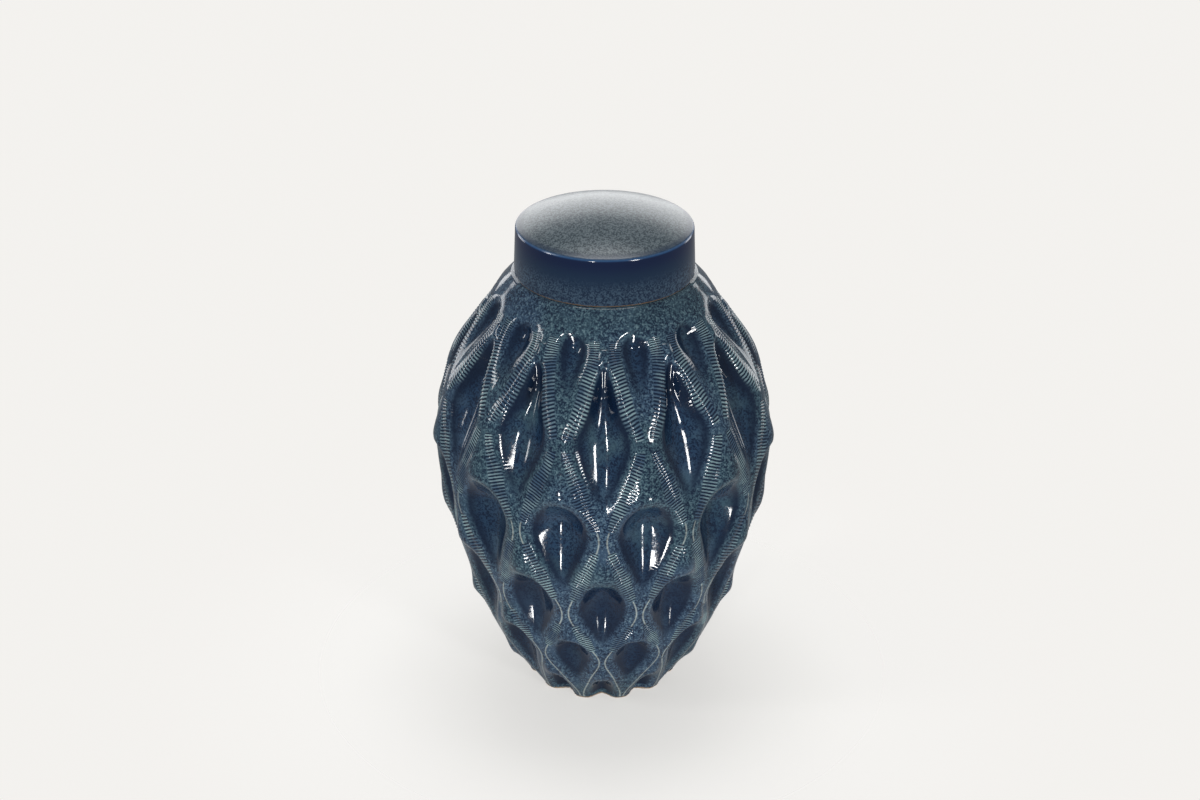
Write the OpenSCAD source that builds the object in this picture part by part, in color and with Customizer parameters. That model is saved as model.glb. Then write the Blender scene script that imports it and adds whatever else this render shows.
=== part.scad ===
// Funeral urn: a slip-cast ceramic vessel with rows of staggered almond hollows between raised
// ridges, and a loose cap. Sizes are in millimetres. The origin is the centre of the foot, +Z is up.

/* [Body] */
// Height of the ledge that the cap rests on
seat_z = 271.5; // [225:0.5:330]
// Radius of the belly at its widest ring of ridge crossings
belly_r = 100; // [84:1:125]
// Radius of the foot at its lobes
foot_r = 47; // [38:0.5:58]
// Wall thickness under the ridges
wall = 9; // [7.5:0.5:11]
// Share of the outer relief that the inner wall follows
inner_follow = 0.6; // [0.4:0.05:0.7]

/* [Ridge crossings, as shares of the seat height and of the belly radius] */
// Height of crossing ring A, on the shoulder
ring_a_z = 0.93; // [0.9:0.005:0.94]
// Radius of crossing ring A
ring_a_r = 0.69; // [0.66:0.01:0.74]
// Height of crossing ring B
ring_b_z = 0.755; // [0.72:0.005:0.79]
// Radius of crossing ring B
ring_b_r = 0.965; // [0.9:0.005:1]
// Height of crossing ring C, at the belly
ring_c_z = 0.535; // [0.5:0.005:0.57]
// Height of crossing ring D
ring_d_z = 0.315; // [0.28:0.005:0.34]
// Radius of crossing ring D
ring_d_r = 0.85; // [0.8:0.01:0.9]
// Height of crossing ring E
ring_e_z = 0.16; // [0.13:0.005:0.19]
// Radius of crossing ring E
ring_e_r = 0.71; // [0.66:0.01:0.76]

/* [Relief] */
// Number of hollows around each row
cells = 12; // [10:1:14]
// Depth of the hollows in the two upper rows
upper_hollow_d = 9.5; // [5:0.5:11]
// Depth of the hollows in the two middle rows
middle_hollow_d = 11.5; // [6:0.5:12.5]
// Depth of the hollows in the two lowest rows
lower_hollow_d = 8.5; // [4:0.5:9.5]
// How far the nose above a hollow stands out
nose_h = 4.5; // [0:0.5:6]
// Side swing of a ridge, as a share of one cell's width
ridge_swing = 0.205; // [0.16:0.005:0.23]

/* [Neck and foot] */
// Thickness of the neck
neck_t = 6; // [5:0.5:9]
// Height of the neck above the ledge
neck_h = 14; // [8:0.5:18]
// Gap between the neck and the cap around it
cap_gap = 1.2; // [0.6:0.1:2]
// Width of the foot ring at its narrowest
foot_ring_w = 5.5; // [4:0.5:8]
// Depth of the recess under the foot
recess_d = 3.5; // [2:0.5:5]
// Thickness of the floor above the recess
floor_t = 7; // [5:0.5:10]
// Rounding at the lower edge of the foot
foot_round = 2; // [1:0.5:3]

/* [Cap] */
// Radius of the cap at its lower edge
cap_r = 53; // [51:0.5:55]
// Height of the skirt, from the ledge to the rim
skirt_h = 29.5; // [22:0.5:34]
// How much narrower the cap is at its rim
skirt_taper = 1; // [0:0.5:2]
// Rise of the domed top above the rim
dome_h = 10; // [4:0.5:14]
// Thickness of the skirt
cap_wall = 4.5; // [3.5:0.5:5]
// Thickness of the domed top
cap_top_t = 5.5; // [4:0.5:7]
// Rounding of the rim
rim_round = 2.5; // [1:0.5:3]
// Rounding at the lower edge of the skirt
hem_round = 1.5; // [0.5:0.5:2]

/* [Hidden] */

glaze = [0.20, 0.29, 0.38];
neck_r = cap_r - cap_wall - cap_gap;
mouth_r = neck_r - neck_t;
recess_r = foot_r - lower_hollow_d - foot_round - foot_ring_w;
ledge_r = cap_r + 1;
neck_round = 1.5;
floor_z = recess_d + floor_t;

// The crossing rings from the ledge down to the foot, as [radius, height]
RINGS = [
    [ledge_r, seat_z],
    [ring_a_r * belly_r, ring_a_z * seat_z],
    [ring_b_r * belly_r, ring_b_z * seat_z],
    [belly_r, ring_c_z * seat_z],
    [ring_d_r * belly_r, ring_d_z * seat_z],
    [ring_e_r * belly_r, ring_e_z * seat_z],
    [foot_r, foot_round]
];
LAST = len(RINGS) - 1;

// For each row of hollows: its depth, how proud its nose is, and where its upper end starts,
// as a share of the way from the row's middle up to the crossing above it
DEPTH = [upper_hollow_d * 0.85, upper_hollow_d * 1.2, middle_hollow_d * 1.2, middle_hollow_d * 1.1,
         lower_hollow_d * 1.2, lower_hollow_d];
NOSE = [0, 0.5, 1, 1, 0.8, 0.6] * nose_h;
START = [0.38, 0.9, 0.48, 0.56, 0.58, 0.62];
RISE = [-0.3, -0.1, -0.15, -0.3, -0.35, -0.35]; // where its floor starts to rise again
LEVEL = 0.9; // where its floor is level with the ridges again
FADE = 0.42; // length over which a hollow reaches its full depth
BOWL = 0.88; // share of a hollow's half-width over which its side falls to the floor

STEPS = 5;      // rows of facets from one crossing ring to the next
INNER_STEPS = 2;
SPLIT = 4;      // facets between two neighbouring ridges
SIDES = 2 * cells * SPLIT;
INNER_TOP = 0.45;     // the inner wall's first row, in ring spacings below the ledge
INNER_LAST = LAST - 0.28; // its last row, above the floor
FLOOR_CORNER = 5;     // how far the wall curves in to meet the floor

function clamp(x, low, high) = min(max(x, low), high);
function ramp(a, b, x) = let(t = clamp((x - a) / (b - a), 0, 1)) t * t * (3 - 2 * t);

// A smooth curve through the rings. Row 0 is the ledge, row 1 is ring A, and so on.
function ring(i) = i < 0 ? 2 * RINGS[0] - RINGS[1]
    : i > LAST ? 2 * RINGS[LAST] - RINGS[LAST - 1] : RINGS[i];
function spline(a, b, c, d, t) =
    0.5 * (2 * b + (c - a) * t + (2 * a - 5 * b + 4 * c - d) * t * t
        + (3 * b - a - 3 * c + d) * t * t * t);
function profile(row) = let(i = min(floor(row), LAST - 1))
    spline(ring(i - 1), ring(i), ring(i + 1), ring(i + 2), row - i);
function outward(row) =
    let(d = profile(min(row + 0.02, LAST)) - profile(max(row - 0.02, 0)), n = [-d.y, d.x])
    n / norm(n);

// Half the width of an even or odd column of cells at a row, as a share of a cell. The ridges
// run straight up above ring A, where the shoulder is plain.
function swing(row) = row < 2 ? 0.13 + (ridge_swing - 0.13) * clamp(row - 1, 0, 1) : ridge_swing;
function half_width(row, odd) =
    let(c = cos(180 * (max(row, 1) - 1)), lean = c * (1 - 0.34 * (1 - c * c)))
    0.25 + (odd ? 1 : -1) * swing(row) * lean;

// Height of the surface over the crossings' curve. t runs from -1 to 1 between two ridges.
function cell_row(row, odd) =
    odd ? 1 + 2 * round((row - 1) / 2) : 2 * max(round(row / 2), 1);
function relief(row, odd, t) =
    let(mid = cell_row(row, odd), s = row - mid, i = mid - 1)
    abs(s) >= 1 || i > LAST - 1 ? 0
    : let(close = i == 0 && s < 0 ? sqrt(max(1 - pow(s / START[0], 2), 0.0001)) : 1,
          x = min(abs(t) / close, 1),
          top = ramp(-START[i], FADE - START[i], s),
          deep = DEPTH[i] * top * (1 - ramp(RISE[i], LEVEL, s)),
          bump = exp(-pow((s + START[i]) / 0.22, 2)))
      NOSE[i] * bump * (1 - x * x) - deep * ramp(0, BOWL, 1 - x);

// The angle and the place in its cell of facet corner k of a row: [degrees, odd, t]
function corner(row, k) =
    let(column = floor(k / SPLIT), j = k - column * SPLIT, odd = column % 2 == 1,
        t = 2 * j / SPLIT - 1, w = half_width(row, odd))
    [(column / 2 + t * w) * 360 / cells - 90, odd, t];

function around(r, z, a) = [r * cos(a), r * sin(a), z];
function circle_row(row, r, z) =
    [for (k = [0:SIDES - 1]) around(r, z, corner(row, k)[0])];
function outer_row(row) =
    let(p = profile(row), n = outward(row))
    [for (k = [0:SIDES - 1])
        let(c = corner(row, k), q = p + n * relief(row, c[1], c[2])) around(q.x, q.y, c[0])];
// The inner wall follows the deepest relief near its row, so that it stays clear of every hollow
function inner_point(row, c) =
    let(near = [for (d = [-0.26, -0.13, 0, 0.13, 0.26]) relief(row + d, c[1], c[2])])
    profile(row) + outward(row) * (inner_follow * min(0, min(near)) - wall);
function inner_row(row) =
    [for (k = [0:SIDES - 1])
        let(c = corner(row, k), q = inner_point(row, c)) around(q.x, q.y, c[0])];
function floor_row(row) =
    [for (k = [0:SIDES - 1])
        let(c = corner(row, k), q = inner_point(row, c)) around(q.x - FLOOR_CORNER, floor_z, c[0])];
function foot_row() =
    let(p = profile(LAST), n = outward(LAST))
    [for (k = [0:SIDES - 1])
        let(c = corner(LAST, k), q = p + n * relief(LAST, c[1], c[2]))
        around(q.x - foot_round, 0, c[0])];

// Every row of the vessel's skin, from the recess up the outside and down the inside
function shell_rows() =
    let(n = floor(INNER_STEPS * (INNER_LAST - INNER_TOP)), gap = (INNER_LAST - INNER_TOP) / n)
    concat(
        [circle_row(LAST, recess_r - recess_d / 2, recess_d), circle_row(LAST, recess_r, 0)],
        [foot_row()],
        [for (i = [STEPS * LAST:-1:1]) outer_row(i / STEPS)],
        [circle_row(0, ledge_r, seat_z), circle_row(0, neck_r, seat_z)],
        [circle_row(0, neck_r, seat_z + neck_h - neck_round)],
        [circle_row(0, neck_r - neck_round, seat_z + neck_h)],
        [circle_row(0, mouth_r, seat_z + neck_h)],
        [circle_row(0, mouth_r, seat_z - wall)],
        [for (i = [0:n]) inner_row(INNER_TOP + i * gap)],
        [floor_row(INNER_LAST)]
    );

// Joins rows of equal length into one closed skin, with a flat face at each end
module skin(rows) {
    n = len(rows[0]);
    m = len(rows);
    sides = [for (i = [0:m - 2], k = [0:n - 1])
        let(a = i * n + k, b = i * n + (k + 1) % n) each [[a, a + n, b], [b, a + n, b + n]]];
    first = [for (k = [0:n - 1]) k];
    last = [for (k = [n - 1:-1:0]) (m - 1) * n + k];
    polyhedron([for (row = rows) each row], concat(sides, [first], [last]), convexity = 8);
}

module urn_body() {
    color(glaze) skin(shell_rows());
}

// An arc from angle a to b around a centre
function arc(centre, r, a, b, n = 8) =
    [for (i = [0:n]) centre + r * [cos(a + (b - a) * i / n), sin(a + (b - a) * i / n)]];
// Radius of the sphere that a dome of this rise and half-width is cut from
function dome_r(half, rise) = (half * half + rise * rise) / (2 * rise);

module lid() {
    rim_r = cap_r - skirt_taper;
    top_half = rim_r - rim_round;
    top_r = dome_r(top_half, dome_h);
    edge = asin(top_half / top_r);
    inner_r = cap_r - cap_wall;
    under_z = skirt_h - cap_top_t;
    under_r = dome_r(inner_r, dome_h);
    under_edge = asin(inner_r / under_r);
    outline = concat(
        [[inner_r, 0]],
        arc([cap_r - hem_round, hem_round], hem_round, -90, 0, 4),
        arc([rim_r - rim_round, skirt_h - rim_round], rim_round, 0, 90 - edge, 5),
        arc([0, skirt_h + dome_h - top_r], top_r, 90 - edge, 90, 12),
        arc([0, under_z + dome_h - under_r], under_r, 90, 90 - under_edge, 10)
    );
    color(glaze) translate([0, 0, seat_z]) rotate_extrude($fn = 96) polygon(outline);
}

urn_body();
lid();
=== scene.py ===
# Funeral urn: glazed ceramic vessel with rows of almond hollows, combed ridges and a loose domed cap.
import math

import bpy
from mathutils import Euler, Matrix, Vector


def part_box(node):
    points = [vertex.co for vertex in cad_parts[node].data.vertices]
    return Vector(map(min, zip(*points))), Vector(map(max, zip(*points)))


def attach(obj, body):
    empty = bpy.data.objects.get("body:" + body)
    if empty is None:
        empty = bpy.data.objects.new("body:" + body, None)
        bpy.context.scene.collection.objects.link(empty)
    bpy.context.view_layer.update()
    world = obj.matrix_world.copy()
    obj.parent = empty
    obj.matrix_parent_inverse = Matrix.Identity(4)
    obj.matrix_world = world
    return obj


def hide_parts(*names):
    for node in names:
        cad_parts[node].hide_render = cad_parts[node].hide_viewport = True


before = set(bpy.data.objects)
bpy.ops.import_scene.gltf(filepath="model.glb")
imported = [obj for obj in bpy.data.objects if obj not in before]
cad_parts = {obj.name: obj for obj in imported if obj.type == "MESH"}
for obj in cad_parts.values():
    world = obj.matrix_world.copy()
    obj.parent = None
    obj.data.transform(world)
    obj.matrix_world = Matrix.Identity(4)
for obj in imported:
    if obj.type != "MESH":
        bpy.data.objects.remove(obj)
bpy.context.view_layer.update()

MM = 0.001

# ---------------------------------------------------------------- sizes of the urn, in metres
SEAT_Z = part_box("lid")[0][2]        # ledge that the cap rests on
TOP_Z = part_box("lid")[1][2]         # top of the dome
BELLY_R = 100 * MM
FOOT_R = 47 * MM
FOOT_ROUND = 2 * MM
CAP_R = 53 * MM
CAP_WALL = 4.5 * MM
CAP_TOP_T = 5.5 * MM
SKIRT_H = 29.5 * MM
SKIRT_TAPER = 1 * MM
RIM_ROUND = 2.5 * MM
HEM_ROUND = 1.5 * MM
CAP_GAP = 1.2 * MM                  # between the neck and the cap around it
LEDGE_R = CAP_R + 1 * MM
NECK_R = CAP_R - CAP_WALL - CAP_GAP
NECK_H = 14 * MM
NECK_T = 6 * MM
MOUTH_R = NECK_R - NECK_T
WALL = 9 * MM
FOOT_RING_W = 5.5 * MM
RECESS_D = 3.5 * MM
FLOOR_T = 7 * MM
FLOOR_Z = RECESS_D + FLOOR_T
FLOOR_CORNER = 5 * MM

CELLS = 12
UPPER_HOLLOW_D = 9.5 * MM
MIDDLE_HOLLOW_D = 11.5 * MM
LOWER_HOLLOW_D = 8.5 * MM
NOSE_H = 3.5 * MM
NOSE_LENGTH = 0.22                  # half its length, in ring spacings
RIDGE_SWING = 0.205                 # side swing of a ridge, as a share of one cell's width
SHOULDER_SWING = 0.13               # the same on the plain shoulder
RIDGE_LEAN = 0.34                   # how much a ridge's wave is drawn out between its crossings
RIDGE_ROUND = 1.5 * MM
RIB_H = 0.60 * MM
RECESS_R = FOOT_R - LOWER_HOLLOW_D - FOOT_ROUND - FOOT_RING_W

# Rings where the ridges cross, from the ledge down to the foot: radius, height
RINGS = [
    (LEDGE_R, SEAT_Z),
    (0.69 * BELLY_R, 0.93 * SEAT_Z),
    (0.965 * BELLY_R, 0.755 * SEAT_Z),
    (BELLY_R, 0.535 * SEAT_Z),
    (0.85 * BELLY_R, 0.315 * SEAT_Z),
    (0.71 * BELLY_R, 0.16 * SEAT_Z),
    (FOOT_R, FOOT_ROUND),
]
LAST = len(RINGS) - 1
INNER_TOP = 0.45                    # the inner wall's first row, in ring spacings below the ledge
INNER_LAST = LAST - 0.28            # its last row, above the floor
INNER_FOLLOW = 0.6                  # share of a hollow's depth that the inner wall follows

# One entry for each row of hollows, from the shoulder down: its depth, how far its nose stands out, and
# where its upper end starts and its floor rises, in ring spacings from the middle of the row
DEPTHS = [UPPER_HOLLOW_D * 0.85, UPPER_HOLLOW_D * 1.2, MIDDLE_HOLLOW_D * 1.2, MIDDLE_HOLLOW_D * 1.1,
          LOWER_HOLLOW_D * 1.2, LOWER_HOLLOW_D]
NOSES = [0, NOSE_H * 0.5, NOSE_H, NOSE_H, NOSE_H * 0.8, NOSE_H * 0.6]
STARTS = [0.38, 0.9, 0.48, 0.56, 0.58, 0.62]
RISES = [-0.3, -0.1, -0.15, -0.3, -0.35, -0.35]
LEVEL = 0.9                         # where its floor is level with the ridges again

# Bands of skin: first and last row, rows between which the comb ribs lie, number of ribs,
# rows of faces before and after the ribs, and how far a rib reaches over each side of the ridge
BANDS = [
    (0, 2, 0.84, 1.96, 32, 16, 5, 5.4 * MM),
    (2, 3, 2.06, 2.90, 28, 7, 6, 4.8 * MM),
    (3, 4, 3.12, 3.80, 22, 6, 7, 4.2 * MM),
    (4, 5, 4.18, 4.74, 15, 6, 8, 3.4 * MM),
    (5, 6, 5.50, 5.50, 0, 8, 8, 3.0 * MM),
]
FACES_PER_RIB = 3
FADE = 0.42                    # length over which a hollow reaches its full depth, in ring spacings
BOWL = 0.88                    # share of its half-width over which its side falls to the floor
SPLIT = 10                     # faces from one ridge to the next
CROWDING = 1.6                 # how much closer columns of faces stand near the ridges
COLUMNS = 2 * CELLS * SPLIT


# ---------------------------------------------------------------- arithmetic on node sockets
class Field:
    """A number carried through a node tree, so that the rule of a shape or glaze reads as arithmetic."""

    def __init__(self, tree, socket):
        self.tree = tree
        self.socket = socket

    def math(self, operation, *others):
        node = self.tree.nodes.new("ShaderNodeMath")
        node.operation = operation
        for socket, value in zip(node.inputs, (self, *others)):
            feed(self.tree, socket, value)
        return Field(self.tree, node.outputs[0])

    def __add__(self, other):
        return self.math("ADD", other)

    def __radd__(self, other):
        return self.math("ADD", other)

    def __sub__(self, other):
        return self.math("SUBTRACT", other)

    def __rsub__(self, other):
        return number(self.tree, other).math("SUBTRACT", self)

    def __mul__(self, other):
        return self.math("MULTIPLY", other)

    def __rmul__(self, other):
        return self.math("MULTIPLY", other)

    def __truediv__(self, other):
        return self.math("DIVIDE", other)

    def __rtruediv__(self, other):
        return number(self.tree, other).math("DIVIDE", self)

    def __neg__(self):
        return self.math("MULTIPLY", -1.0)


def feed(tree, socket, value):
    """Puts a number or a field into a socket."""
    if isinstance(value, Field):
        tree.links.new(value.socket, socket)
    else:
        socket.default_value = value


def number(tree, value):
    """A plain number as a field."""
    node = tree.nodes.new("ShaderNodeValue")
    node.outputs[0].default_value = value
    return Field(tree, node.outputs[0])


def ramp(x, low, high):
    """Rises smoothly from 0 to 1 as x goes from low to high."""
    node = x.tree.nodes.new("ShaderNodeMapRange")
    node.interpolation_type = "SMOOTHSTEP"
    feed(x.tree, node.inputs["Value"], x)
    feed(x.tree, node.inputs["From Min"], low)
    feed(x.tree, node.inputs["From Max"], high)
    return Field(x.tree, node.outputs["Result"])


def limit(x, low, high):
    return x.math("MAXIMUM", low).math("MINIMUM", high)


def hump(x, centre, width):
    """A bell shape of height 1 around a centre."""
    y = (x - centre) / width
    return (-(y * y)).math("EXPONENT")


def pick(index, values):
    """The entry of a list at a field's whole number."""
    tree = index.tree
    node = tree.nodes.new("GeometryNodeIndexSwitch")
    node.data_type = "FLOAT"
    while len(node.index_switch_items) < len(values):
        node.index_switch_items.new()
    tree.links.new(index.socket, node.inputs["Index"])
    for socket, value in zip(node.inputs[1:], values):
        socket.default_value = value
    return Field(tree, node.outputs[0])


# ---------------------------------------------------------------- the rule of the relief
def profile(row):
    """Radius, height and outward direction of the smooth curve through the rings, at a row."""
    first = (2 * RINGS[0][0] - RINGS[1][0], 2 * RINGS[0][1] - RINGS[1][1])
    last = (2 * RINGS[-1][0] - RINGS[-2][0], 2 * RINGS[-1][1] - RINGS[-2][1])
    points = [first, *RINGS, last]
    i = limit(row.math("FLOOR"), 0, LAST - 1)
    t = row - i
    place, slope = [], []
    for axis in (0, 1):
        line = [p[axis] for p in points]
        a, b, c, d = (pick(i, line[k:k + LAST]) for k in range(4))
        bend = 2 * a - 5 * b + 4 * c - d
        twist = 3 * b - a - 3 * c + d
        place.append(0.5 * (2 * b + (c - a) * t + bend * t * t + twist * t * t * t))
        slope.append((c - a) + 2 * bend * t + 3 * twist * t * t)
    length = (slope[0] * slope[0] + slope[1] * slope[1]).math("SQRT")
    return place[0], place[1], -slope[1] / length, slope[0] / length


def half_width(row, side, swing):
    """Half the width of a column of cells, as a share of one cell; side is 1 in odd columns, else -1."""
    c = ((row.math("MAXIMUM", 1) - 1) * math.pi).math("COSINE")
    lean = c * (1 - RIDGE_LEAN * (1 - c * c))
    reach = SHOULDER_SWING + (swing - SHOULDER_SWING) * limit(row - 1, 0, 1)
    return 0.25 + side * reach * lean


def column_place(column):
    """Number of the column between two ridges, its side, and the place across it from -1 to 1."""
    cell = ((column + 0.01) / SPLIT).math("FLOOR")
    x = (column - cell * SPLIT) * (2 / SPLIT) - 1
    t = x.math("SIGN") * (1 - (1 - x.math("ABSOLUTE")).math("POWER", CROWDING))
    odd = cell - (cell * 0.5).math("FLOOR") * 2
    return cell, odd, t


def cell_place(row, odd):
    """Which row of hollows a point is in, and how far it is below that row's middle."""
    even_middle = (row * 0.5 + 0.5).math("FLOOR").math("MAXIMUM", 1) * 2
    odd_middle = (row * 0.5).math("FLOOR") * 2 + 1
    middle = even_middle + (odd_middle - even_middle) * odd
    return middle - 1, row - middle


def relief(row, odd, t, half_arc, depth, nose, rounding):
    """Height over the rings' curve, depth of the hollow here, and distance to the nearest ridge."""
    i, s = cell_place(row, odd)
    inside = s.math("ABSOLUTE").math("LESS_THAN", 1) * i.math("LESS_THAN", LAST - 0.5)
    shoulder = i.math("LESS_THAN", 0.5) * s.math("LESS_THAN", 0)
    arch = (1 - (s / STARTS[0]).math("POWER", 2)).math("MAXIMUM", 0.0001).math("SQRT")
    close = 1 + (arch - 1) * shoulder
    gap = (close - t.math("ABSOLUTE")) * half_arc
    away = gap.math("MAXIMUM", 0)
    soft = (away * away + rounding * rounding).math("SQRT") - rounding
    x = limit(1 - soft / (half_arc * close), 0, 1)
    start = pick(i, STARTS)
    top = ramp(s, -start, FADE - start)
    deep = pick(i, DEPTHS) * depth * top * (1 - ramp(s, pick(i, RISES), LEVEL)) * ramp(1 - x, 0, BOWL)
    bump = pick(i, NOSES) * nose * hump(s, -start, NOSE_LENGTH) * (1 - x * x)
    return (bump - deep) * inside, deep * inside, gap.math("ABSOLUTE")


RULE_SIZES = [("Cells", CELLS), ("Ridge swing", RIDGE_SWING), ("Ridge rounding", RIDGE_ROUND),
              ("Hollow depth", 1.0), ("Nose height", 1.0)]


def add_sockets(tree, inputs, outputs):
    """Gives a tree its named number sockets, and returns a field for each input."""
    for label, value in inputs:
        item = tree.interface.new_socket(label, in_out="INPUT", socket_type="NodeSocketFloat")
        item.default_value = value
    for label in outputs:
        tree.interface.new_socket(label, in_out="OUTPUT", socket_type="NodeSocketFloat")
    source = tree.nodes.new("NodeGroupInput")
    return {label: Field(tree, source.outputs[label]) for label, _ in inputs}


def relief_rule():
    """A node group with the whole rule: from a point's column and row to its place on the urn."""
    tree = bpy.data.node_groups.new("urn_relief_rule", "GeometryNodeTree")
    outputs = ["Radius", "Height", "Out R", "Out Z", "Angle", "Lift", "Hollow", "Gap", "Half arc"]
    f = add_sockets(tree, [("Column", 0.0), ("Row", 0.0), *RULE_SIZES], outputs)
    cell, odd, t = column_place(f["Column"])
    half = half_width(f["Row"], odd * 2 - 1, f["Ridge swing"])
    r, z, out_r, out_z = profile(f["Row"])
    one_cell = (2 * math.pi) / f["Cells"].math("MAXIMUM", 1)
    half_arc = half * r * one_cell
    lift, deep, gap = relief(f["Row"], odd, t, half_arc, f["Hollow depth"], f["Nose height"],
                             f["Ridge rounding"])
    angle = (cell * 0.5 + t * half) * one_cell - math.pi / 2
    end = tree.nodes.new("NodeGroupOutput")
    for label, value in zip(outputs, (r, z, out_r, out_z, angle, lift, deep, gap, half_arc)):
        tree.links.new(value.socket, end.inputs[label])
    return tree


def square_rule():
    """A node group that shifts rows between the ridges, so that rows of faces cross the ridges squarely."""
    tree = bpy.data.node_groups.new("urn_square_rows", "GeometryNodeTree")
    f = add_sockets(tree, [("Column", 0.0), ("Row", 0.0), ("Ridge swing", RIDGE_SWING)], ["Row"])
    _, odd, t = column_place(f["Column"])
    side = odd * 2 - 1
    step = 0.02
    above, here, below = (half_width(f["Row"] + way, side, f["Ridge swing"]) for way in (-step, 0.0, step))
    lean = (below - above) / (2 * step)
    row = limit(f["Row"] + lean * here * 0.4 * (1 - t * t), 0, LAST)
    end = tree.nodes.new("NodeGroupOutput")
    tree.links.new(row.socket, end.inputs["Row"])
    return tree


# ---------------------------------------------------------------- geometry nodes for the vessel
def use_rule(tree, rule, **values):
    """Puts a rule's group into a tree; returns its outputs as fields."""
    node = tree.nodes.new("GeometryNodeGroup")
    node.node_tree = rule
    for label, value in values.items():
        feed(tree, node.inputs[label.replace("_", " ")], value)
    return {socket.name: Field(tree, socket) for socket in node.outputs}


def grid(tree, columns, rows):
    """A flat grid of faces with the column and row number of each point."""
    node = tree.nodes.new("GeometryNodeMeshGrid")
    node.inputs["Size X"].default_value = columns
    node.inputs["Size Y"].default_value = rows
    node.inputs["Vertices X"].default_value = columns + 1
    node.inputs["Vertices Y"].default_value = rows + 1
    where = tree.nodes.new("GeometryNodeInputPosition")
    split = tree.nodes.new("ShaderNodeSeparateXYZ")
    tree.links.new(where.outputs[0], split.inputs[0])
    column = (Field(tree, split.outputs["X"]) + columns / 2).math("ROUND")
    row = (rows / 2 - Field(tree, split.outputs["Y"])).math("ROUND")
    return node.outputs["Mesh"], column, row


def place_points(tree, geometry, radius, angle, height):
    """Moves points to a radius, angle and height."""
    join = tree.nodes.new("ShaderNodeCombineXYZ")
    feed(tree, join.inputs["X"], radius * angle.math("COSINE"))
    feed(tree, join.inputs["Y"], radius * angle.math("SINE"))
    feed(tree, join.inputs["Z"], height)
    node = tree.nodes.new("GeometryNodeSetPosition")
    tree.links.new(geometry, node.inputs["Geometry"])
    tree.links.new(join.outputs[0], node.inputs["Position"])
    return node.outputs["Geometry"]


def remember(tree, geometry, **values):
    """Stores fields on the points by name."""
    for name, value in values.items():
        node = tree.nodes.new("GeometryNodeStoreNamedAttribute")
        node.data_type = "FLOAT"
        node.domain = "POINT"
        node.inputs["Name"].default_value = name
        tree.links.new(geometry, node.inputs["Geometry"])
        feed(tree, node.inputs["Value"], value)
        geometry = node.outputs["Geometry"]
    return geometry


def recall(tree, name):
    """A stored value as a field."""
    node = tree.nodes.new("GeometryNodeInputNamedAttribute")
    node.data_type = "FLOAT"
    node.inputs["Name"].default_value = name
    return Field(tree, node.outputs[0])


def join_parts(tree, parts):
    node = tree.nodes.new("GeometryNodeJoinGeometry")
    for part in reversed(parts):
        tree.links.new(part, node.inputs[0])
    return node.outputs[0]


def skin_band(tree, band, first_rib):
    """The flat grid for one band of the outside, with its rows spaced for the comb ribs."""
    start, end, rib_start, rib_end, ribs, before, after, reach = band
    combed = ribs * FACES_PER_RIB
    faces = before + combed + after
    geometry, column, j = grid(tree, COLUMNS, faces)
    row = (start + limit(j / before, 0, 1) * (rib_start - start)
           + limit((j - faces + after) / after, 0, 1) * (end - rib_end))
    if ribs:
        row = row + limit((j - before) / combed, 0, 1) * (rib_end - rib_start)
    phase = (j - before) / FACES_PER_RIB
    along = ramp(phase, -0.2, 1.5) * ramp(phase, ribs + 0.2, ribs - 1.5) if ribs else 0.0
    return remember(tree, geometry, column=column, row=row, rib_phase=phase + first_rib,
                    rib_weight=along, rib_reach=reach)


def outer_skin(tree, sizes, rule, square):
    """All bands of the outside, raised and sunk by the rule and combed across the ridges."""
    parts = []
    first_rib = 0
    for band in BANDS:
        parts.append(skin_band(tree, band, first_rib))
        first_rib += band[4]
    geometry = join_parts(tree, parts)
    squared = use_rule(tree, square, Column=recall(tree, "column"), Row=recall(tree, "row"),
                       Ridge_swing=sizes["Ridge swing"])
    geometry = remember(tree, geometry, row=squared["Row"])
    f = use_rule(tree, rule, Column=recall(tree, "column"), Row=recall(tree, "row"), **rule_inputs(sizes))
    reach = recall(tree, "rib_reach").math("MINIMUM", f["Half arc"] * 0.5)
    across = ramp(f["Gap"], reach, reach * 0.6)
    geometry = remember(tree, geometry, hollow=f["Hollow"], ridge_gap=f["Gap"],
                        rib_weight=recall(tree, "rib_weight") * across)
    wave = 0.5 + 0.5 * (recall(tree, "rib_phase") * (2 * math.pi)).math("SINE")
    lift = f["Lift"] - sizes["Rib height"] * recall(tree, "rib_weight") * (1 - wave)
    return place_points(tree, geometry, f["Radius"] + f["Out R"] * lift, f["Angle"],
                        f["Height"] + f["Out Z"] * lift)


def rule_inputs(sizes):
    """The vessel's sizes that the rule's group takes."""
    return {label.replace(" ", "_"): sizes[label] for label, _ in RULE_SIZES}


def neck_and_ledge(tree, sizes, rule):
    """Plain round rows: ledge, neck, lip and mouth, from the outside inwards."""
    bend = 1.5 * MM
    top = SEAT_Z + NECK_H
    points = [(LEDGE_R, SEAT_Z), (NECK_R, SEAT_Z), (NECK_R, top - bend),
              (NECK_R - bend * 0.3, top - bend * 0.3), (NECK_R - bend, top), (MOUTH_R + bend / 2, top),
              (MOUTH_R, top - bend / 2), (MOUTH_R, SEAT_Z - WALL)]
    points.reverse()
    geometry, column, j = grid(tree, COLUMNS, len(points) - 1)
    f = use_rule(tree, rule, Column=column, Row=0.0, **rule_inputs(sizes))
    return place_points(tree, geometry, pick(j, [p[0] for p in points]), f["Angle"],
                        pick(j, [p[1] for p in points]))


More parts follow.
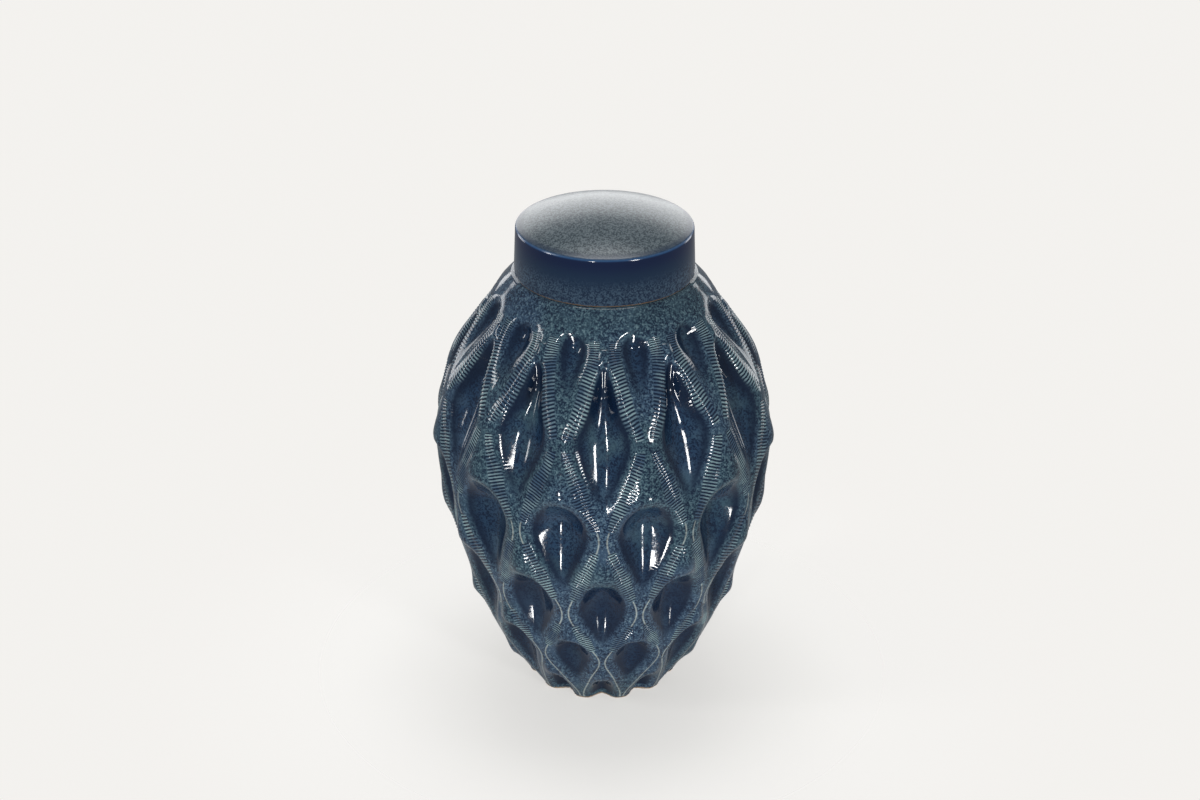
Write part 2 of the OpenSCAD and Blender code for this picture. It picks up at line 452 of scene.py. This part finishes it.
def inner_wall(tree, sizes, rule):
    """The inside of the wall, which follows the outer hollows more softly, down to the floor."""
    faces = 20
    geometry, column, j = grid(tree, COLUMNS, faces + 3)
    j = faces + 3 - j
    row = INNER_TOP + limit((j - 1) / faces, 0, 1) * (INNER_LAST - INNER_TOP)
    f = use_rule(tree, rule, Column=column, Row=row, **rule_inputs(sizes))
    sink = -INNER_FOLLOW * f["Hollow"] - sizes["Wall"]
    throat = j.math("LESS_THAN", 0.5)
    on_floor = j.math("GREATER_THAN", faces + 1.5)
    centre = j.math("GREATER_THAN", faces + 2.5)
    wall_r = f["Radius"] + f["Out R"] * sink - on_floor * FLOOR_CORNER
    wall_z = f["Height"] + f["Out Z"] * sink
    radius = (wall_r + (MOUTH_R - wall_r) * throat) * (1 - centre)
    height = wall_z + (SEAT_Z - WALL - wall_z) * throat
    height = height + (FLOOR_Z - height) * on_floor
    return place_points(tree, geometry, radius, f["Angle"], height)


def foot_ring(tree, sizes, rule):
    """The rounded lower edge, the foot ring and the recess under the urn."""
    turns = 4
    geometry, column, j = grid(tree, COLUMNS, turns + 3)
    f = use_rule(tree, rule, Column=column, Row=float(LAST), **rule_inputs(sizes))
    bend = limit(j / turns, 0, 1) * (math.pi / 2)
    edge_r = f["Radius"] + f["Out R"] * f["Lift"] - FOOT_ROUND * (1 - bend.math("COSINE"))
    edge_z = (f["Height"] + f["Out Z"] * f["Lift"]) * (1 - bend.math("SINE"))
    ring = j.math("GREATER_THAN", turns + 0.5)
    recess = j.math("GREATER_THAN", turns + 1.5)
    centre = j.math("GREATER_THAN", turns + 2.5)
    radius = (edge_r + (RECESS_R - recess * RECESS_D * 0.5 - edge_r) * ring) * (1 - centre)
    return place_points(tree, geometry, radius, f["Angle"], edge_z * (1 - ring) + recess * RECESS_D)


def make_body(glaze):
    """The vessel: one closed skin grown by a geometry tree from the rings, ridges and hollows."""
    tree = bpy.data.node_groups.new("urn_vessel", "GeometryNodeTree")
    tree.interface.new_socket("Geometry", in_out="OUTPUT", socket_type="NodeSocketGeometry")
    values = [*RULE_SIZES, ("Rib height", RIB_H), ("Wall", WALL)]
    sizes = add_sockets(tree, values, [])
    rule = relief_rule()
    parts = [outer_skin(tree, sizes, rule, square_rule()), neck_and_ledge(tree, sizes, rule),
             inner_wall(tree, sizes, rule), foot_ring(tree, sizes, rule)]
    weld = tree.nodes.new("GeometryNodeMergeByDistance")
    weld.inputs["Distance"].default_value = 0.01 * MM
    tree.links.new(join_parts(tree, parts), weld.inputs[0])
    smooth = tree.nodes.new("GeometryNodeSetShadeSmooth")
    real = tree.nodes.new("GeometryNodeRealizeInstances")
    finish = tree.nodes.new("GeometryNodeSetMaterial")
    finish.inputs["Material"].default_value = glaze
    out = tree.nodes.new("NodeGroupOutput")
    chain = [weld, smooth, real, finish, out]
    for before, after in zip(chain, chain[1:]):
        tree.links.new(before.outputs[0], after.inputs[0])
    return grown("urn_vessel", tree, values)


def grown(name, tree, values):
    """Runs a geometry tree with its sizes on an empty mesh; returns the result as a plain mesh object."""
    seed = bpy.data.objects.new(name + "_seed", bpy.data.meshes.new(name + "_seed"))
    bpy.context.collection.objects.link(seed)
    modifier = seed.modifiers.new("grow", "NODES")
    modifier.node_group = tree
    sockets = {item.name: item.identifier for item in tree.interface.items_tree if item.in_out == "INPUT"}
    for label, value in values:
        modifier[sockets[label]] = float(value)
    depsgraph = bpy.context.evaluated_depsgraph_get()
    mesh = bpy.data.meshes.new_from_object(seed.evaluated_get(depsgraph), depsgraph=depsgraph)
    seed.modifiers.remove(modifier)
    bpy.data.objects.remove(seed)
    piece = bpy.data.objects.new(name, mesh)
    bpy.context.collection.objects.link(piece)
    return piece


# ---------------------------------------------------------------- the cap
def arc(centre, radius, start, end, steps):
    """Points of a circle's arc, in degrees from the outward direction."""
    turns = [math.radians(start + (end - start) * i / steps) for i in range(steps + 1)]
    return [(centre[0] + radius * math.cos(a), centre[1] + radius * math.sin(a)) for a in turns]


def dome_r(half, rise):
    """Radius of the ball that a shallow dome is cut from."""
    return (half * half + rise * rise) / (2 * rise)


def cap_outline():
    """Half section of the cap, from the inner foot of its skirt round the outside to its underside."""
    rim_r = CAP_R - SKIRT_TAPER
    top_half = rim_r - RIM_ROUND
    rise = TOP_Z - SEAT_Z - SKIRT_H
    top_r = dome_r(top_half, rise)
    edge = math.degrees(math.asin(top_half / top_r))
    inner_r = CAP_R - CAP_WALL
    under_z = SKIRT_H - CAP_TOP_T
    under_r = dome_r(inner_r, rise)
    under_edge = math.degrees(math.asin(inner_r / under_r))
    points = [(inner_r, 0.0)]
    points += arc((CAP_R - HEM_ROUND, HEM_ROUND), HEM_ROUND, -90, 0, 6)
    points += arc((rim_r - RIM_ROUND, SKIRT_H - RIM_ROUND), RIM_ROUND, 0, 90 - edge, 8)
    points += arc((0, SKIRT_H + rise - top_r), top_r, 90 - edge, 90, 24)[1:]
    points += arc((0, under_z + rise - under_r), under_r, 90, 90 - under_edge, 16)
    return points


def make_cap(glaze):
    """The domed cap, turned from its half section."""
    steps = 192
    outline = cap_outline()
    verts, faces, rings = [], [], []
    for r, z in outline:
        if r < 1e-6:
            rings.append([len(verts)] * steps)
            verts.append((0.0, 0.0, SEAT_Z + z))
            continue
        rings.append(list(range(len(verts), len(verts) + steps)))
        for k in range(steps):
            a = 2 * math.pi * k / steps
            verts.append((r * math.cos(a), r * math.sin(a), SEAT_Z + z))
    for i, low in enumerate(rings):
        high = rings[(i + 1) % len(rings)]
        for k in range(steps):
            n = (k + 1) % steps
            corners = [low[k], low[n], high[n], high[k]]
            unique = [c for p, c in enumerate(corners) if c not in corners[:p]]
            if len(unique) > 2:
                faces.append(unique)
    mesh = bpy.data.meshes.new("urn_cap")
    mesh.from_pydata(verts, [], faces)
    mesh.materials.append(glaze)
    for polygon in mesh.polygons:
        polygon.use_smooth = True
    mesh.update()
    piece = bpy.data.objects.new("urn_cap", mesh)
    bpy.context.collection.objects.link(piece)
    return piece


# ---------------------------------------------------------------- glazes
class Glaze:
    """A material under construction, with short ways to read the surface and blend colours."""

    def __init__(self, name):
        self.material = bpy.data.materials.new(name)
        self.material.use_nodes = True
        self.tree = self.material.node_tree
        self.shader = self.tree.nodes["Principled BSDF"]
        self.coordinates = self.tree.nodes.new("ShaderNodeTexCoord").outputs["Object"]

    def read(self, name):
        """A value stored on the mesh."""
        node = self.tree.nodes.new("ShaderNodeAttribute")
        node.attribute_name = name
        return Field(self.tree, node.outputs["Fac"])

    def axes(self):
        """The object coordinates as three fields."""
        node = self.tree.nodes.new("ShaderNodeSeparateXYZ")
        self.tree.links.new(self.coordinates, node.inputs[0])
        return [Field(self.tree, socket) for socket in node.outputs]

    def noise(self, scale, detail=2.0, rough=0.5, shift=0.0, stretch=(1, 1, 1)):
        """Cloudy noise from 0 to 1; scale is in lumps per metre."""
        node = self.tree.nodes.new("ShaderNodeTexNoise")
        node.inputs["Scale"].default_value = scale
        node.inputs["Detail"].default_value = detail
        node.inputs["Roughness"].default_value = rough
        turn = self.tree.nodes.new("ShaderNodeMapping")
        turn.inputs["Location"].default_value = (shift, shift * 0.7, shift * 1.3)
        turn.inputs["Scale"].default_value = stretch
        self.tree.links.new(self.coordinates, turn.inputs["Vector"])
        self.tree.links.new(turn.outputs[0], node.inputs["Vector"])
        return Field(self.tree, node.outputs[0])

    def blend(self, share, low, high):
        """A colour between two, by a share from 0 to 1."""
        node = self.tree.nodes.new("ShaderNodeMix")
        node.data_type = "RGBA"
        feed(self.tree, node.inputs[0], share)
        for socket, colour in ((node.inputs[6], low), (node.inputs[7], high)):
            if isinstance(colour, tuple):
                socket.default_value = (*colour, 1.0)
            else:
                self.tree.links.new(colour, socket)
        return node.outputs[2]

    def finish(self, colour, roughness, height, depth, ior=1.42):
        """Plugs the colour, roughness and small relief into the shader."""
        self.tree.links.new(colour, self.shader.inputs["Base Color"])
        feed(self.tree, self.shader.inputs["Roughness"], roughness)
        self.shader.inputs["IOR"].default_value = ior
        bump = self.tree.nodes.new("ShaderNodeBump")
        bump.inputs["Strength"].default_value = 1.0
        bump.inputs["Distance"].default_value = depth
        feed(self.tree, bump.inputs["Height"], height)
        self.tree.links.new(bump.outputs[0], self.shader.inputs["Normal"])
        return self.material


NAVY = (0.003, 0.009, 0.025)
COBALT = (0.008, 0.026, 0.062)
BLUE_GREY = (0.036, 0.068, 0.112)
TEAL = (0.038, 0.074, 0.098)
CELADON = (0.18, 0.265, 0.285)
# colour of the painted highlight on the ridge crests
CREAM_HIGHLIGHT = (0.46, 0.50, 0.45)
BARE_CLAY = (0.33, 0.22, 0.13)


def body_glaze():
    """Reactive blue glaze: speckled on the high skin and dark in the hollows, with painted shade on the
    hollows' walls and in the deep hollows of the lower rows, a painted highlight along the lower ridges'
    crests, and pale ribs.
    """
    g = Glaze("body_glaze")
    hollow = g.read("hollow") / MM
    gap = g.read("ridge_gap") / MM
    phase = g.read("rib_phase")
    weight = g.read("rib_weight")
    row = g.read("row")
    _, _, z = g.axes()

    fine = g.noise(1000, 2.0)
    grain = g.noise(520, 3.0, 0.6, 0.3)
    cloud = g.noise(60, 3.0, 0.55, 0.7)
    broad = g.noise(18, 2.0, 0.5, 1.9)

    skin = g.blend(ramp(broad, 0.4, 0.62), BLUE_GREY, TEAL)
    deep = ramp(hollow + (cloud - 0.5) * 6, 1.0, 6.0)
    skin = g.blend(deep * ramp(cloud, 0.25, 0.6) * 0.8, skin, COBALT)
    dark = ramp(fine * 0.55 + grain * 0.45, 0.55, 0.43) * ramp(cloud, 0.15, 0.55)
    skin = g.blend(limit(dark, 0, 1) * 0.92, skin, NAVY)
    pale = ramp(fine * 0.5 + grain * 0.5, 0.53, 0.66) * ramp(hollow, 3.5, 0.2)
    skin = g.blend(pale * 0.45, skin, CELADON)
    # painted shade: the deep hollows of the lower rows, which face downwards, are darkened further to navy
    skin = g.blend(ramp(hollow, 3.0, 7.0) * ramp(row, 3.3, 4.0) * 0.6, skin, NAVY)
    # painted shade: the steep side walls of the hollows, between the ridge and the floor, are darkened to
    # navy
    painted_wall_shade = ramp(gap, 1.5, 5.0) * ramp(gap, 14.0, 8.0) * ramp(hollow, 1.2, 3.5)
    skin = g.blend(painted_wall_shade * 0.88, skin, NAVY)

    # painted highlight: a pale dotted line along the ridge crests of the lower rows
    painted_crest_highlight = hump(gap, 0, 0.42) * ramp(row, 2.2, 3.2) * ramp(grain, 0.22, 0.5)
    skin = g.blend(painted_crest_highlight * 0.55, skin, CREAM_HIGHLIGHT)

    wave = 0.5 + 0.5 * (phase * (2 * math.pi)).math("SINE")
    rib = ramp(wave + (grain - 0.5) * 0.5, 0.35, 0.8)
    combed = ramp(weight, 0.12, 0.6)
    bar = g.blend(rib, NAVY, g.blend(ramp(cloud, 0.35, 0.65), CELADON, BLUE_GREY))
    skin = g.blend(combed * 0.9, skin, bar)

    foot = ramp(z / MM + (grain - 0.5) * 2, 2.0, 0.6)
    skin = g.blend(foot, skin, BARE_CLAY)
    rough = 0.06 + 0.05 * dark + 0.5 * foot
    return g.finish(skin, rough, cloud * 0.6 + grain * 0.08 + fine * 0.02, 0.3 * MM)


def cap_glaze():
    """Satin speckled blue-grey on the dome, a blue rim and a cobalt band that fades down the skirt."""
    g = Glaze("lid_glaze")
    x, y, z = g.axes()
    radius = (x * x + y * y).math("SQRT") / MM
    height = (z - SEAT_Z) / MM
    fine = g.noise(1050, 2.0)
    grain = g.noise(500, 3.0, 0.6, 0.3)
    cloud = g.noise(45, 3.0, 0.55, 0.7)
    speckle = fine * 0.6 + grain * 0.4

    top = g.blend(ramp(speckle, 0.43, 0.57), (0.010, 0.024, 0.036), (0.10, 0.13, 0.145))
    ring = ramp(radius + (cloud - 0.5) * 2, 46.5, 49.5)
    top = g.blend(ring * 0.7, top, (0.006, 0.020, 0.045))
    low = g.blend(ramp(speckle, 0.42, 0.60), (0.008, 0.022, 0.052), (0.055, 0.098, 0.150))
    skirt = g.blend(ramp(height + (cloud - 0.5) * 6 + (grain - 0.5) * 10, 7, 19), low, COBALT)
    skirt = g.blend(ramp(height, 16, 26) * 0.8, skirt, (0.002, 0.009, 0.048))
    below = SKIRT_H / MM - height
    upper = ramp(below, 1.9, 0.8)
    colour = g.blend(upper, skirt, top)
    rim = hump(below, 1.2, 0.55) * ramp(radius, 45, 50)
    colour = g.blend(rim * 0.65, colour, (0.030, 0.10, 0.24))
    hem = ramp(height + (grain - 0.5) * 0.8, 1.3, 0.5)
    colour = g.blend(hem, colour, (0.30, 0.19, 0.11))
    rough = 0.10 + 0.20 * upper + 0.4 * hem
    return g.finish(colour, rough, cloud * 0.4 + fine * 0.05, 0.25 * MM, 1.5)


# ---------------------------------------------------------------- the studio
def make_floor():
    """A pale round table top under the urn, which fades into the pale backdrop."""
    steps, radius = 96, 0.32
    rim = [(radius * math.cos(2 * math.pi * k / steps), radius * math.sin(2 * math.pi * k / steps), 0.0)
           for k in range(steps)]
    mesh = bpy.data.meshes.new("studio_floor")
    mesh.from_pydata(rim, [], [tuple(range(steps))])
    paper = Glaze("studio_paper")
    x, y, _ = paper.axes()
    fade = ramp((x * x + y * y).math("SQRT"), 0.31, 0.10) * 0.4
    paper.shader.inputs["Base Color"].default_value = (0.90, 0.89, 0.87, 1.0)
    paper.shader.inputs["Roughness"].default_value = 0.85
    feed(paper.tree, paper.shader.inputs["Alpha"], fade)
    mesh.materials.append(paper.material)
    floor = bpy.data.objects.new("studio_floor", mesh)
    bpy.context.collection.objects.link(floor)


def soft_box(name, place, aim, width, height, power, lit=None):
    """A flat light that faces a point and stays out of the picture; lit limits it to a collection."""
    lamp = bpy.data.lights.new(name, "AREA")
    lamp.shape = "RECTANGLE"
    lamp.size = width
    lamp.size_y = height
    lamp.energy = power
    light = bpy.data.objects.new(name, lamp)
    light.location = place
    light.rotation_euler = (Vector(aim) - Vector(place)).to_track_quat("-Z", "Y").to_euler()
    light.visible_camera = False
    if lit:
        light.light_linking.receiver_collection = lit
    bpy.context.collection.objects.link(light)


def light_studio(vessel):
    scene = bpy.context.scene
    world = bpy.data.worlds.new("studio_world")
    scene.world = world
    world.use_nodes = True
    background = world.node_tree.nodes["Background"]
    background.inputs["Color"].default_value = (0.93, 0.96, 1.0, 1.0)
    background.inputs["Strength"].default_value = 0.24
    nodes, links = world.node_tree.nodes, world.node_tree.links
    backdrop = nodes.new("ShaderNodeBackground")
    backdrop.inputs["Color"].default_value = (0.90, 0.885, 0.86, 1.0)
    seen = nodes.new("ShaderNodeLightPath")
    either = nodes.new("ShaderNodeMixShader")
    links.new(seen.outputs["Is Camera Ray"], either.inputs[0])
    links.new(background.outputs[0], either.inputs[1])
    links.new(backdrop.outputs[0], either.inputs[2])
    links.new(either.outputs[0], nodes["World Output"].inputs["Surface"])
    middle = (0, 0, 0.16)
    lit = bpy.data.collections.new("lit_from_below")
    lit.objects.link(vessel)
    soft_box("key_left", (-0.5, -1.85, 0.62), middle, 0.13, 0.26, 8)
    soft_box("key_right", (1.15, -1.5, 0.62), middle, 0.30, 0.28, 13)
    soft_box("low_left", (-0.42, -1.45, -0.10), middle, 0.10, 0.16, 5, lit)
    soft_box("shelf_left", (-0.36, -1.2, -0.42), (0, 0, 0.08), 0.09, 0.18, 4, lit)
    soft_box("shelf_right", (0.62, -1.15, -0.42), (0, 0, 0.08), 0.12, 0.18, 4, lit)
    soft_box("side_left", (-1.7, -0.5, 0.9), middle, 0.25, 0.9, 10)
    soft_box("edge_left", (-1.5, 1.1, 0.25), middle, 0.6, 0.8, 5)
    soft_box("edge_right", (1.5, 1.1, 0.25), middle, 0.6, 0.8, 5)
    soft_box("overhead", (0.0, 0.3, 2.2), middle, 1.2, 0.9, 20)
    soft_box("behind", (0.0, 2.4, 0.85), (0, 0, 0.3), 3.2, 1.7, 44)
    scene.view_settings.view_transform = "Standard"


def set_camera():
    """The camera in front of the urn, a little above it and looking down."""
    tilt = math.radians(27.5)
    distance = 1.3836
    camera = bpy.data.objects.new("studio_camera", bpy.data.cameras.new("studio_camera"))
    camera.data.sensor_width = 36
    camera.data.lens = 69
    camera.location = (-0.0022, -distance * math.cos(tilt), 0.1854 + distance * math.sin(tilt))
    look = Euler((math.pi / 2 - tilt, 0, 0)).to_matrix() @ Matrix.Rotation(math.radians(0.33), 3, "Z")
    camera.rotation_euler = look.to_euler()
    bpy.context.collection.objects.link(camera)
    bpy.context.scene.camera = camera


# ---------------------------------------------------------------- build the scene
vessel = make_body(body_glaze())
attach(vessel, "root")
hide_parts("urn_body")

cap = make_cap(cap_glaze())
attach(cap, "root")
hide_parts("lid")

make_floor()
light_studio(vessel)
set_camera()
